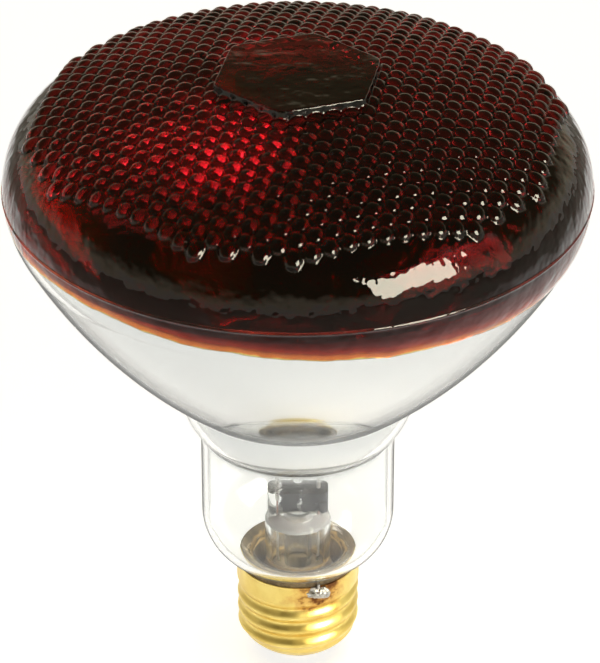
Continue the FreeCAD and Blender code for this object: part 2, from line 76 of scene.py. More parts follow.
# coatings
RUBY_SKIN = 0.15
RUBY_EDGE = 109.6
RUBY_EDGE_TILT = 3.4
EDGE_SEED = 7
RUBY_EDGE_WAVES = ((3, 0.3), (5, 0.2), (9, 0.15), (17, 0.12), (29, 0.1), (53, 0.06), (91, 0.04))
MIRROR_SKIN = 0.1
MIRROR_TOP = 113.5
MIRROR_LOW = 47.0
COAT_GAP = 0.02

# painted red glow where the lamp's reflection in the mirror shows through the lacquer; each patch tints
# the lacquer a lighter crimson: middle, reach and strength
PAINTED_GLOW_PATCHES = (
    ((-15.0, -22.0, 136.0), 20.0, 0.95),
    ((-3.0, 11.0, 141.0), 16.0, 0.6),
    ((-52.0, -26.0, 121.0), 14.0, 0.35),
)

# cement and the end of the stem
CEMENT_GAP = 0.04
CEMENT_RADIUS = 12.84
CEMENT_LOW = 15.0
COLLAR_LEDGE = 20.0
COLLAR_STEP = 0.9
CEMENT_LEVEL = 24.6
FLARE_CEMENT_LEVEL = 23.2
CEMENT_TONES = (
    (0.0, (0.07, 0.045, 0.022)),
    (0.5, (0.16, 0.115, 0.06)),
    (1.0, (0.32, 0.235, 0.12)),
)
DARK_TOP_SIDE = -3.7
DARK_TOP_LOW = 36.8
DARK_TOP_SLIT = 0.6
SOLDER_SEED = Vector((3.1, 0.7, 5.2))

# studio, in metres and degrees
FLOOR_REACH = 2.5
LIT_MIDDLE = (0.0, 0.18, 0.0)
LIT_REACH = 0.27
DIM_REACH = 0.42
LAMP_AIM = 0.1
CAMERA_PLACE = (0.00046, -0.6474, 0.4743)
CAMERA_DIP = 31.33
CAMERA_LENS = 197.6

# round pieces: steps in a full turn, and the radius below which a point is on the axis
AROUND = 480
ON_AXIS = 1e-6
UP_Z = Vector((0, 0, 1))


# Outline of the envelope


def arc(centre, radius, start, end, count):
    """Points in (radius, height) along an arc, angles in radians."""
    steps = [start + (end - start) * step / count for step in range(count + 1)]
    return [(centre[0] + radius * math.cos(a), centre[1] + radius * math.sin(a)) for a in steps]


def angle_to(start, end):
    return math.atan2(end[1] - start[1], end[0] - start[0])


def meeting(first, reach_first, second, reach_second):
    """The outer of the two points at given distances from two centres."""
    gap = math.dist(first, second)
    along = (gap ** 2 + reach_first ** 2 - reach_second ** 2) / (2 * gap)
    aside = math.sqrt(reach_first ** 2 - along ** 2)
    lean = angle_to(first, second)
    across = first[0] + along * math.cos(lean) - aside * math.sin(lean)
    up = first[1] + along * math.sin(lean) + aside * math.cos(lean)
    return across, up


shoulder_centre = (WIDEST[0] - SHOULDER_CURVE, WIDEST[1])
side_centre = (WIDEST[0] - SIDE_CURVE, WIDEST[1])
face_rise = FACE_TOP - WIDEST[1]
FACE_CURVE = (shoulder_centre[0] ** 2 + face_rise ** 2 - SHOULDER_CURVE ** 2) / (
    2 * (face_rise - SHOULDER_CURVE)
)
face_centre = (0.0, FACE_TOP - FACE_CURVE)
face_lean = angle_to(face_centre, shoulder_centre)
bowl_rise = BOWL_CENTRE_HEIGHT - WIDEST[1]
bowl_reach = BOWL_CURVE - SIDE_CURVE
bowl_centre = (side_centre[0] - math.sqrt(bowl_reach ** 2 - bowl_rise ** 2), BOWL_CENTRE_HEIGHT)
bowl_lean = angle_to(bowl_centre, side_centre)
bowl_start = (
    side_centre[0] + SIDE_CURVE * math.cos(bowl_lean), side_centre[1] + SIDE_CURVE * math.sin(bowl_lean)
)
crease_centre = meeting(
    bowl_centre, BOWL_CURVE + CREASE_CURVE, BULGE_CENTRE, BULGE_CURVE + CREASE_CURVE
)
neck_centre = (NECK_RADIUS - NECK_CORNER, NECK_CORNER_HEIGHT)


def foot_of(centre, curve, side):
    """Centre of the small hollow arc that leads from a round into a straight wall below it."""
    across = side + FOOT_CURVE
    drop = math.sqrt((curve + FOOT_CURVE) ** 2 - (across - centre[0]) ** 2)
    return across, centre[1] - drop


foot_centre = foot_of(BULGE_CENTRE, BULGE_CURVE, NECK_RADIUS)
seal_centre = foot_of(neck_centre, NECK_CORNER, SEAL_RADIUS)


def ease(amount):
    amount = min(max(amount, 0.0), 1.0)
    return amount * amount * (3 - 2 * amount)


def sink(radius):
    """How far the glass lies below the smooth dome, so that the bead tops come out level with it."""
    start, end = SINK_REACH
    return BEAD_SINK * ease((end - radius) / (end - start))


def sunk(points, centre):
    """Moves outline points toward the centre of their arc by the sink at their radius."""
    moved = []
    for radius, height in points:
        lean = angle_to(centre, (radius, height))
        depth = sink(radius)
        moved.append((radius - depth * math.cos(lean), height - depth * math.sin(lean)))
    return moved


def dome_outline(inset):
    """From the middle of the face to the widest ring."""
    face = arc(face_centre, FACE_CURVE - inset, math.pi / 2, face_lean, 60)
    shoulder = arc(shoulder_centre, SHOULDER_CURVE - inset, face_lean, 0, 48)
    return sunk(face[:-1], face_centre) + sunk(shoulder, shoulder_centre)


def bowl_outline(inset):
    """From the widest ring down the bowl, the crease and the bulge to the neck."""
    crease_lean = angle_to(bowl_centre, crease_centre)
    bulge_lean = angle_to(BULGE_CENTRE, crease_centre)
    foot_lean = angle_to(BULGE_CENTRE, foot_centre)
    points = arc(side_centre, SIDE_CURVE - inset, 0, bowl_lean, 28)
    points += arc(bowl_centre, BOWL_CURVE - inset, bowl_lean, crease_lean, 60)[1:]
    points += arc(
        crease_centre, CREASE_CURVE + inset, math.pi + crease_lean, math.pi + bulge_lean, 8
    )[1:]
    points += arc(BULGE_CENTRE, BULGE_CURVE - inset, bulge_lean, foot_lean, 24)[1:]
    points += arc(foot_centre, FOOT_CURVE + inset, math.pi + foot_lean, math.pi, 8)[1:]
    return points


def neck_outline(inset):
    """Down the neck and round its end to the seal."""
    seal_side = SEAL_RADIUS - inset
    lean = angle_to(neck_centre, seal_centre)
    corner = arc(neck_centre, NECK_CORNER - inset, 0, lean, 32)
    corner += arc(seal_centre, FOOT_CURVE + inset, math.pi + lean, math.pi, 8)[1:]
    return corner + [(seal_side, SEAL_HEIGHT)]


def trimmed(points, low, high):
    """The part of an outline between two heights, cut exactly at both."""
    kept = []
    for start, end in zip(points, points[1:]):
        for level in (high, low):
            if (start[1] - level) * (end[1] - level) < 0:
                share = (level - start[1]) / (end[1] - start[1])
                kept.append((start[0] + share * (end[0] - start[0]), level))
        if low <= end[1] <= high:
            kept.append(end)
    return kept


# Meshes


def in_scene(name, data):
    """An object of some data, such as a mesh or a lamp, in the scene."""
    item = bpy.data.objects.new(name, data)
    bpy.context.scene.collection.objects.link(item)
    return item


def new_object(name, points, faces):
    """A smooth mesh object from points in millimetres."""
    mesh = bpy.data.meshes.new(name)
    mesh.from_pydata([(x * MM, y * MM, z * MM) for x, y, z in points], [], faces)
    mesh.shade_smooth()
    return in_scene(name, mesh)


def built_object(name, work):
    """A smooth mesh object from a finished bmesh in metres."""
    mesh = bpy.data.meshes.new(name)
    work.to_mesh(mesh)
    work.free()
    mesh.shade_smooth()
    return in_scene(name, mesh)


def face_outward(piece):
    """Points every face's normal away from the solid."""
    work = bmesh.new()
    work.from_mesh(piece.data)
    bmesh.ops.recalc_face_normals(work, faces=work.faces)
    work.to_mesh(piece.data)
    work.free()


def ring_point(radius, height, step, around):
    turn = 2 * math.pi * step / around
    return radius * math.cos(turn), radius * math.sin(turn), height


def held(outline):
    """Adds a point close to each end of a long straight run, so that it shades as straight."""
    long_run, hold = 5.0, 0.15
    points = outline[:1]
    for start, end in zip(outline, outline[1:]):
        gap = math.dist(start, end)
        if gap > long_run:
            for share in (hold / gap, 1 - hold / gap):
                points.append((
                    start[0] + share * (end[0] - start[0]), start[1] + share * (end[1] - start[1])
                ))
        points.append(end)
    return points


def lathe(name, outline, around=AROUND):
    """Turns a closed cross-section, or one whose two ends lie on the axis, about the lamp axis."""
    points, rows = [], []
    for radius, height in held(outline):
        if radius < ON_AXIS:
            rows.append([len(points)] * around)
            points.append((0.0, 0.0, height))
        else:
            rows.append(list(range(len(points), len(points) + around)))
            points += [ring_point(radius, height, step, around) for step in range(around)]
    followers = rows[1:]
    if outline[0][0] > ON_AXIS:
        followers = followers + rows[:1]
    faces = []
    for upper, lower in zip(rows, followers):
        for step in range(around):
            after = (step + 1) % around
            corners = [upper[step], lower[step], lower[after], upper[after]]
            faces.append(list(dict.fromkeys(corners)))
    piece = new_object(name, points, [face for face in faces if len(face) > 2])
    face_outward(piece)
    return piece


def add_lathe(piece, outline, around):
    """Joins another turned solid to a piece."""
    extra = lathe("extra", outline, around)
    work = bmesh.new()
    work.from_mesh(piece.data)
    work.from_mesh(extra.data)
    work.to_mesh(piece.data)
    work.free()
    bpy.data.meshes.remove(extra.data)


def make_envelope():
    outer = dome_outline(0.0) + bowl_outline(0.0)[1:] + neck_outline(0.0)
    inner = dome_outline(GLASS_WALL) + bowl_outline(GLASS_WALL)[1:] + neck_outline(GLASS_WALL)
    return lathe("glass_envelope", outer + inner[::-1])


def make_mirror():
    outside = GLASS_WALL + COAT_GAP
    inside = GLASS_WALL + MIRROR_SKIN
    outer = trimmed(bowl_outline(outside) + neck_outline(outside), MIRROR_LOW, MIRROR_TOP)
    inner = trimmed(bowl_outline(inside) + neck_outline(inside), MIRROR_LOW, MIRROR_TOP)
    return lathe("mirror_film", outer + inner[::-1])


def make_cement():
    """Cement between the glass and the collar, and the plug of it inside the flare."""
    inside = [
        point for point in neck_outline(-CEMENT_GAP)
        if point[1] > COLLAR_LEDGE and point[0] < CEMENT_RADIUS
    ]
    ring = [(CEMENT_RADIUS, COLLAR_LEDGE), (CEMENT_RADIUS, inside[0][1])] + inside + [
        (SEAL_RADIUS + CEMENT_GAP, CEMENT_LOW),
        (CEMENT_RADIUS - COLLAR_STEP, CEMENT_LOW),
        (CEMENT_RADIUS - COLLAR_STEP, COLLAR_LEDGE),
    ]
    plug = [
        (3.1, CEMENT_LOW), (8.1, CEMENT_LOW), (5.8, 20.4), (5.8, 21.6), (4.6, 21.9), (3.1, 21.7)
    ]
    piece = lathe("cement_ring", ring, 180)
    add_lathe(piece, plug, 120)
    return piece


def make_solder(low, high):
    """The lumpy drop of solder on the collar, within its node's box."""
    work = bmesh.new()
    bmesh.ops.create_icosphere(work, subdivisions=5, radius=1.0)
    middle = (low + high) / 2
    half = (high - low) / 2
    lumps, least, rise = 1.7, 0.86, 0.3
    for corner in work.verts:
        lump = noise.fractal(corner.co * lumps + SOLDER_SEED, 0.8, 2.0, 4)
        swell = min(least + rise * lump, 1.0)
        corner.co = middle + Vector(a * b for a, b in zip(corner.co * swell, half))
    return built_object("solder_drop", work)


# Beaded ruby face


def dome_height(radius):
    """Height of the smooth face or shoulder at a distance from the axis."""
    if radius <= FACE_CURVE * math.cos(face_lean):
        return face_centre[1] + math.sqrt(FACE_CURVE ** 2 - radius ** 2)
    return shoulder_centre[1] + math.sqrt(SHOULDER_CURVE ** 2 - (radius - shoulder_centre[0]) ** 2)


def dome_normal(across, along):
    radius = math.hypot(across, along)
    if radius <= FACE_CURVE * math.cos(face_lean):
        lean = math.asin(radius / FACE_CURVE)
    else:
        lean = math.asin(min((radius - shoulder_centre[0]) / SHOULDER_CURVE, 1.0))
    if radius < ON_AXIS:
        return UP_Z
    out = math.sin(lean) / radius
    return Vector((across * out, along * out, math.cos(lean)))


def row_frame(across, along):
    """A plan position in the frame of the bead rows."""
    cos, sin = math.cos(ROW_TURN), math.sin(ROW_TURN)
    return across * cos + along * sin, along * cos - across * sin


def side_reaches(u, v):
    """Distances of a point in the row frame, square to the six sides of a hexagon."""
    sides = [math.radians(30 + 60 * side) for side in range(6)]
    return [max(u * math.cos(side) + v * math.sin(side), 0.0) for side in sides]


def window_reach(across, along):
    """How far out a plan position lies from a hexagon's middle, with its corners rounded."""
    reaches = side_reaches(*row_frame(across, along))
    return sum(reach ** WINDOW_CORNERS for reach in reaches) ** (1 / WINDOW_CORNERS)


def nearest_bead(across, along):
    """Distance to the middle of the nearest bead, and where that middle is."""
    u, v = row_frame(across, along)
    best = None
    row = math.floor(v / row_gap)
    for near_row in (row, row + 1):
        shift = BEAD_PITCH / 2 * (near_row % 2)
        column = round((u - shift) / BEAD_PITCH)
        middle = (column * BEAD_PITCH + shift, near_row * row_gap)
        gap = math.dist((u, v), middle)
        if best is None or gap < best[0]:
            best = (gap, middle)
    return best


row_gap = BEAD_PITCH * math.cos(math.radians(30))
window_side = WINDOW_RADIUS * math.cos(math.radians(30))
bead_valley = math.sqrt(BEAD_CURVE ** 2 - BEAD_PITCH ** 2 / 3)


def bead_lift(across, along):
    """Height of the pressed round beads over the plain dome."""
    gap, middle = nearest_bead(across, along)
    if math.hypot(*middle) > BEAD_FIELD or max(side_reaches(*middle)) > (BEAD_ROWS + 0.5) * row_gap:
        return 0.0
    return max(math.sqrt(BEAD_CURVE ** 2 - gap ** 2) - bead_valley, 0.0)


def face_point(across, along):
    """A point on the outside of the coated face."""
    radius = math.hypot(across, along)
    height = dome_height(radius)
    lift = RUBY_SKIN + bead_lift(across, along) - sink(radius)
    place = Vector((across, along, height)) + dome_normal(across, along) * lift
    reach = window_reach(across, along)
    if reach < window_side + WINDOW_WALL:
        place.z += (WINDOW_TOP - place.z) * ease((window_side + WINDOW_WALL - reach) / WINDOW_WALL)
    return place


def grid_reach(reach):
    """Moves the grid inside the window out, so that it is dense where the window's wall is."""
    margin, stretch = 0.05, 2.2
    wall_from, wall_to = window_side - margin, window_side + WINDOW_WALL + margin
    spread_from = wall_to - stretch
    if reach >= wall_to:
        return reach
    if reach < spread_from:
        return reach * wall_from / spread_from
    return wall_from + (reach - spread_from) * (wall_to - wall_from) / (wall_to - spread_from)


def face_grid(work):
    """A triangular grid that follows the bead rows, out to a ragged edge inside the field."""
    step = BEAD_PITCH / STEPS_PER_BEAD
    step_gap = row_gap / STEPS_PER_BEAD
    reach = FIELD_EDGE - step
    rows = math.ceil(reach / step_gap)
    grid = {}
    for row in range(-rows, rows + 1):
        columns = math.ceil(reach / step) + abs(row)
        for column in range(-columns, columns + 1):
            u = (column + row / 2) * step
            v = row * step_gap
            if math.hypot(u, v) > reach:
                continue
            across = u * math.cos(ROW_TURN) - v * math.sin(ROW_TURN)
            along = u * math.sin(ROW_TURN) + v * math.cos(ROW_TURN)
            apart = window_reach(across, along)
            pull = grid_reach(apart) / apart if apart > ON_AXIS else 1.0
            grid[column, row] = work.verts.new(face_point(across * pull, along * pull))
    for (column, row), corner in grid.items():
        right = grid.get((column + 1, row))
        upper = grid.get((column, row + 1))
        lower = grid.get((column + 1, row - 1))
        if right and upper:
            work.faces.new((corner, right, upper))
        if right and lower:
            work.faces.new((corner, lower, right))
    work.verts.ensure_lookup_table()
    loose = [corner for corner in work.verts if not corner.link_faces]
    bmesh.ops.delete(work, geom=loose, context="VERTS")


def edge_height(turn):
    """Height of the lacquer's wavy lower edge at an angle round the lamp."""
    chance = random.Random(EDGE_SEED)
    waves = [(count, swing, chance.uniform(0, 2 * math.pi)) for count, swing in RUBY_EDGE_WAVES]
    ripple = sum(swing * math.sin(count * turn + phase) for count, swing, phase in waves)
    return RUBY_EDGE - RUBY_EDGE_TILT * math.cos(turn) + ripple


def side_point(height, lift, turn):
    """A point on the shoulder, side or bowl at a height, moved out from the axis by the lift."""
    if height >= WIDEST[1]:
        radius = shoulder_centre[0] + math.sqrt(SHOULDER_CURVE ** 2 - (height - WIDEST[1]) ** 2)
    elif height >= bowl_start[1]:
        radius = side_centre[0] + math.sqrt(SIDE_CURVE ** 2 - (height - WIDEST[1]) ** 2)
    else:
        radius = bowl_centre[0] + math.sqrt(BOWL_CURVE ** 2 - (height - BOWL_CENTRE_HEIGHT) ** 2)
    radius += lift - sink(radius)
    return Vector((radius * math.cos(turn), radius * math.sin(turn), height))


def add_row(work, points):
    row = [work.verts.new(point) for point in points]
    for start, end in zip(row, row[1:] + row[:1]):
        work.edges.new((start, end))
    return row


def join_rows(work, upper, lower):
    for step, corner in enumerate(upper):
        after = (step + 1) % len(upper)
        work.faces.new((corner, lower[step], lower[after], upper[after]))


def seam_levels(start):
    """Heights of the rows from the field's brim to just below the seam, close together at the seam."""
    above, within = 20, 14
    high = SEAM_HEIGHT + SEAM_REACH
    levels = [start + (high - start) * step / above for step in range(1, above + 1)]
    return levels + [high - 2 * SEAM_REACH * step / within for step in range(1, within + 1)]


def add_brim(work, turns):
    """A round row at the edge of the bead field, joined to the ragged edge of the grid."""
    ragged = [edge for edge in work.edges if edge.is_boundary]
    brim = add_row(work, [face_point(FIELD_EDGE * math.cos(t), FIELD_EDGE * math.sin(t)) for t in turns])
    round_edges = [edge for edge in work.edges if edge.is_wire]
    bmesh.ops.triangle_fill(work, use_beauty=True, edges=ragged + round_edges, normal=UP_Z)
    return brim


def add_outside(work, turns, row):
    """From the brim over the seam and down to the middle of the wavy edge's thickness."""
    for height in seam_levels(dome_height(FIELD_EDGE)):
        lift = RUBY_SKIN + SEAM_RIDGE * math.exp(-(((height - SEAM_HEIGHT) / SEAM_WIDTH) ** 2))
        lower = add_row(work, [side_point(height, lift, turn) for turn in turns])
        join_rows(work, row, lower)
        row = lower
    foot = SEAM_HEIGHT - SEAM_REACH
    for step in range(1, RUBY_ROWS + 1):
        share = step / RUBY_ROWS
        skin = RUBY_SKIN if step < RUBY_ROWS else RUBY_SKIN / 2
        points = [side_point(foot + (edge_height(t) - foot) * share, skin, t) for t in turns]
        lower = add_row(work, points)
        join_rows(work, row, lower)
        row = lower
    return row


def add_inside(work, turns, row):
    """From the wavy edge up along the glass, and over to the middle of the face."""
    start = dome_height(FIELD_EDGE)
    for step in range(RUBY_ROWS + 1):
        share = step / RUBY_ROWS
        points = [
            side_point(edge_height(t) + (start - edge_height(t)) * share, COAT_GAP, t) for t in turns
        ]
        upper = add_row(work, points)
        join_rows(work, row, upper)
        row = upper
    inner_reach = math.hypot(row[0].co.x, row[0].co.y)
    for step in range(1, RUBY_ROWS):
        reach = inner_reach * (1 - step / RUBY_ROWS)
        height = dome_height(reach) - sink(reach) + COAT_GAP
        upper = add_row(work, [(reach * math.cos(t), reach * math.sin(t), height) for t in turns])
        join_rows(work, row, upper)
        row = upper
    top = work.verts.new((0, 0, FACE_TOP - BEAD_SINK + COAT_GAP))
    for step, corner in enumerate(row):
        work.faces.new((corner, row[(step + 1) % AROUND], top))


def make_ruby():
    """The lacquered face: beads and window above, wavy edge below, plain inside."""
    work = bmesh.new()
    face_grid(work)
    turns = [2 * math.pi * step / AROUND for step in range(AROUND)]
    brim = add_brim(work, turns)
    edge = add_outside(work, turns, brim)
    add_inside(work, turns, edge)
    bmesh.ops.recalc_face_normals(work, faces=work.faces)
    gap = work.verts.layers.float.new("above_edge")
    for corner in work.verts:
        corner[gap] = corner.co.z - edge_height(math.atan2(corner.co.y, corner.co.x))
        corner.co *= MM
    return built_object("ruby_face", work)


# Materials


def set_stops(band, stops):
    """Gives a colour band its (place, colour) pairs."""
    while len(band.elements) < len(stops):
        band.elements.new(1.0)
    for element, (place, colour) in zip(band.elements, stops):
        element.position = place
        element.color = (*colour, 1.0)


class Look:
    """A node material under construction."""

    def __init__(self, name):
        self.material = bpy.data.materials.new(name)
        self.material.use_nodes = True
        self.tree = self.material.node_tree
        self.tree.nodes.clear()
        self.output = self.tree.nodes.new("ShaderNodeOutputMaterial")
        self.places = self.tree.nodes.new("ShaderNodeTexCoord").outputs["Object"]

    def node(self, kind, settings=None, **sockets):
        """Adds a node, sets its properties, and sets or links its sockets by name."""
        item = self.tree.nodes.new(kind)
        for name, value in (settings or {}).items():
            setattr(item, name, value)
        for name, value in sockets.items():
            self.feed(item.inputs[name.replace("_", " ")], value)
        return item

    def feed(self, socket, value):
        """Links a socket, or sets it. A colour is given as red, green and blue."""
        if isinstance(value, bpy.types.NodeSocket):
            self.tree.links.new(value, socket)
        elif socket.type == "RGBA":
            socket.default_value = (*value, 1.0)
        else:
            socket.default_value = value

    def principled(self, **sockets):
        return self.node("ShaderNodeBsdfPrincipled", **sockets)

    def noise(self, scale, detail=4.0, rough=0.55):
        item = self.node(
            "ShaderNodeTexNoise", Vector=self.places, Scale=scale, Detail=detail, Roughness=rough
        )
        return item.outputs["Fac"]

    def spread(self, value, low, high, new_low, new_high):
        """Maps a range of values to another, clamped."""
        item = self.node(
            "ShaderNodeMapRange",
            Value=value, From_Min=low, From_Max=high, To_Min=new_low, To_Max=new_high,
        )
        return item.outputs["Result"]

    def ramp(self, value, stops):
        """A colour ramp from (place, colour) pairs."""
        item = self.node("ShaderNodeValToRGB", Fac=value)
        set_stops(item.color_ramp, stops)
        return item.outputs["Color"]

    def calculate(self, kind, first, second=0.0):
        item = self.node("ShaderNodeMath", {"operation": kind})
        self.feed(item.inputs[0], first)
        self.feed(item.inputs[1], second)
        return item.outputs["Value"]

    def blend(self, share, first, second):
        item = self.node("ShaderNodeMix", {"data_type": "RGBA"})
        self.feed(item.inputs[0], share)
        self.feed(item.inputs[6], first)
        self.feed(item.inputs[7], second)
        return item.outputs[2]

    def distance(self, place):
        """Distance from a place, in metres."""
        item = self.node("ShaderNodeVectorMath", {"operation": "DISTANCE"})
        self.feed(item.inputs[0], self.places)
        self.feed(item.inputs[1], place)
        return item.outputs["Value"]

    def part(self, axis):
        """One coordinate on the lamp, in metres."""
        item = self.node("ShaderNodeSeparateXYZ", Vector=self.places)
        return item.outputs[axis]

    def bump(self, height, distance):
        item = self.node("ShaderNodeBump", Height=height, Distance=distance)
        return item.outputs["Normal"]

    def mixed(self, share, first, second):
        mix = self.node("ShaderNodeMixShader")
        self.feed(mix.inputs[0], share)
        self.feed(mix.inputs[1], first)
        self.feed(mix.inputs[2], second)
        return mix.outputs[0]

    def cement(self):
        """Brown-grey cement with coarse and fine grains."""
        grain = self.noise(900.0, 6.0, 0.7)
        patch = self.noise(180.0, 3.0)
        fine = self.calculate("MULTIPLY", grain, 0.6)
        coarse = self.calculate("MULTIPLY", patch, 0.4)
        share = self.calculate("ADD", fine, coarse)
        tone = self.ramp(self.spread(share, 0.35, 0.65, 0.0, 1.0), CEMENT_TONES)
        return self.principled(
            Base_Color=tone, Roughness=0.9, Normal=self.bump(grain, 0.0002)
        ).outputs[0]

    def ragged(self, value, grain, swing):
        """A length that drifts up and down by a swing in millimetres."""
        drift = self.spread(grain, 0.3, 0.7, -swing * MM, swing * MM)
        return self.calculate("ADD", value, drift)

    def cemented(self, shader, level):
        """Glass with cement on its far side up to a ragged level, which ends in a golden rim."""
        height = self.ragged(self.part("Z"), self.noise(420.0, 5.0, 0.7), 0.5)
        gold = self.principled(Base_Color=(0.42, 0.27, 0.09), Roughness=0.5)
        rim = self.spread(height, level * MM, (level + 0.2) * MM, 1.0, 0.0)
        covered = self.spread(height, (level - 0.6) * MM, (level - 0.4) * MM, 1.0, 0.0)
        return self.mixed(covered, self.mixed(rim, shader, gold.outputs[0]), self.cement())

    def finish(self, shader):
        self.tree.links.new(shader, self.output.inputs["Surface"])
        return self.material

    def lets_lamps_through(self, shader, colour):
        """Lets lamp light pass straight through the glass, tinted."""
        path = self.node("ShaderNodeLightPath").outputs["Is Shadow Ray"]
        clear = self.node("ShaderNodeBsdfTransparent", Color=colour)
        return self.mixed(path, shader, clear.outputs[0])


def clear_glass_look():
    """Blown glass with painted dark edge lines where it is seen edge on, and cement behind its lower
    end.
    """
    look = Look("clear_glass")
    smudge = look.spread(look.noise(60.0), 0.45, 0.8, 0.0, 0.05)
    glass = look.principled(
        Base_Color=(0.965, 0.975, 0.965), IOR=1.5, Transmission_Weight=1.0, Roughness=smudge,
        Specular_IOR_Level=0.35,
    )
    # Painted shade: a dark opaque shader mixed in where the glass is seen edge on, dark edge lines that
    # stand in for the dark surroundings real glass shows there; full on the neck and bowl, weaker
    # between.
    depth = look.principled(Base_Color=(0.1, 0.11, 0.12), Roughness=0.5, Specular_IOR_Level=0.2)
    edge = look.node("ShaderNodeLayerWeight", Blend=0.5).outputs["Facing"]
    height = look.part("Z")
    on_neck = look.spread(height, 54.5 * MM, 56.0 * MM, 1.0, 0.4)
    on_bowl = look.spread(height, 68.0 * MM, 72.0 * MM, 0.0, 0.6)
    most = look.calculate("ADD", on_neck, on_bowl)
    share = look.calculate("MULTIPLY", look.spread(edge, 0.77, 0.9, 0.0, 0.95), most)
    seen = look.mixed(share, glass.outputs[0], depth.outputs[0])
    see_through = look.lets_lamps_through(seen, (0.93, 0.94, 0.93))
    return look.finish(look.cemented(see_through, CEMENT_LEVEL))


def ruby_look():
    """Deep red lacquer that thins to orange and yellow at its lower edge."""
    look = Look("ruby_lacquer")
    gap = look.node("ShaderNodeAttribute", {"attribute_name": "above_edge"}).outputs["Fac"]
    wobble = look.spread(look.noise(180.0), 0.3, 0.7, -0.4, 0.4)
    depth = look.spread(look.calculate("ADD", gap, wobble), 0.0, 10.0, 0.0, 1.0)
    thin = look.ramp(depth, (
        (0.0, (1.0, 0.8, 0.2)),
        (0.02, (1.0, 0.5, 0.06)),
        (0.045, (0.8, 0.2, 0.02)),
        (0.2, (0.46, 0.06, 0.012)),
        (0.4, (0.22, 0.02, 0.01)),
        (0.9, (0.13, 0.008, 0.008)),
        (1.0, (0.075, 0.003, 0.003)),
    ))
    pale = look.ramp(depth, (
        (0.0, (1.0, 0.87, 0.32)),
        (0.02, (1.0, 0.6, 0.1)),
        (0.045, (0.88, 0.28, 0.03)),
        (0.2, (0.54, 0.09, 0.02)),
        (0.4, (0.3, 0.03, 0.015)),
        (0.9, (0.18, 0.012, 0.01)),
        (1.0, (0.14, 0.004, 0.005)),
    ))
    cloud = look.spread(look.noise(22.0, 3.0), 0.35, 0.65, 0.0, 1.0)
    tone = look.blend(cloud, thin, pale)
    drift = look.noise(70.0, 5.0)
    # Painted red glow: round each patch the lacquer turns a lighter crimson, standing in for the lamp's
    # reflection in the mirror seen through it.
    for place, reach, strength in PAINTED_GLOW_PATCHES:
        away = look.ragged(look.distance([axis * MM for axis in place]), drift, 8.0)
        share = look.spread(away, 3.0 * MM, reach * MM, strength, 0.0)
        tone = look.blend(share, tone, (0.62, 0.015, 0.03))
    rough = look.spread(look.noise(400.0), 0.4, 0.75, 0.015, 0.06)
    lacquer = look.principled(
        Base_Color=tone, IOR=1.46, Transmission_Weight=1.0, Roughness=rough,
        Normal=look.bump(look.noise(90.0, 3.0), 0.0009),
    )
    return look.finish(look.lets_lamps_through(lacquer.outputs[0], (0.3, 0.01, 0.01)))


def mirror_look():
    """Aluminium film, thinning to a haze down the neck."""
    look = Look("mirror_film")
    level = look.ragged(look.part("Z"), look.noise(90.0), 0.8)
    haze = look.ramp(look.spread(level, 47.5 * MM, 57.5 * MM, 0.0, 1.0), (
        (0.0, (0.0, 0.0, 0.0)),
        (0.5, (0.02, 0.02, 0.02)),
        (0.75, (0.1, 0.1, 0.1)),
        (0.88, (0.4, 0.4, 0.4)),
        (1.0, (1.0, 1.0, 1.0)),
    ))
    cover = look.node("ShaderNodeRGBToBW", Color=haze).outputs["Val"]
    rough = look.spread(level, 50.0 * MM, 70.0 * MM, 0.3, 0.06)
    film = look.principled(
        Base_Color=(0.7, 0.712, 0.73), Metallic=1.0, Roughness=rough, Alpha=cover
    )
    return look.finish(film.outputs[0])


def stem_glass_look(name, cement_level=None):
    """Clear lead glass, which may stand in cement up to a level."""
    look = Look(name)
    dust = look.spread(look.noise(250.0), 0.45, 0.75, 0.0, 0.08)
    glass = look.principled(
        Base_Color=(0.93, 0.94, 0.94), IOR=1.55, Transmission_Weight=1.0, Roughness=dust
    )
    shader = look.lets_lamps_through(glass.outputs[0], (0.85, 0.86, 0.86))
    if cement_level is not None:
        shader = look.cemented(shader, cement_level)
    return look.finish(shader)


def press_look():
    """Clear glass, dark over most of the flattened top where the wires are sealed."""
    look = Look("press_glass")
    grain = look.noise(400.0)
    side = look.ragged(look.part("X"), grain, 0.8)
    height = look.ragged(look.part("Z"), grain, 0.8)
    # A near-black patch over most of the flattened top, left open in a slit beside the middle.
    across = look.spread(side, DARK_TOP_SIDE * MM, (DARK_TOP_SIDE + 0.3) * MM, 0.0, 1.0)
    above = look.spread(height, DARK_TOP_LOW * MM, (DARK_TOP_LOW + 0.3) * MM, 0.0, 1.0)
    from_slit = look.calculate("ABSOLUTE", look.calculate("SUBTRACT", side, DARK_TOP_SLIT * MM))
    beside = look.spread(from_slit, 0.4 * MM, 0.6 * MM, 0.0, 1.0)
    dark_top_share = look.calculate("MULTIPLY", look.calculate("MULTIPLY", across, above), beside)
    patch = look.spread(grain, 0.35, 0.65, 0.0, 1.0)
    tone = look.blend(patch, (0.008, 0.009, 0.011), (0.035, 0.037, 0.042))
    black = look.principled(Base_Color=tone, Roughness=0.2)
    clear = look.principled(
        Base_Color=(0.93, 0.94, 0.94), IOR=1.5, Transmission_Weight=1.0, Roughness=0.02
    )
    see_through = look.lets_lamps_through(clear.outputs[0], (0.85, 0.86, 0.86))
    milky = look.principled(Base_Color=(0.5, 0.5, 0.5), Roughness=0.3)
    web = look.spread(look.part("Z"), (DARK_TOP_LOW - 0.4) * MM, DARK_TOP_LOW * MM, 0.3, 0.0)
    seen = look.mixed(web, see_through, milky.outputs[0])
    return look.finish(look.mixed(dark_top_share, seen, black.outputs[0]))


def cement_look():
    look = Look("basing_cement")
    return look.finish(look.cement())


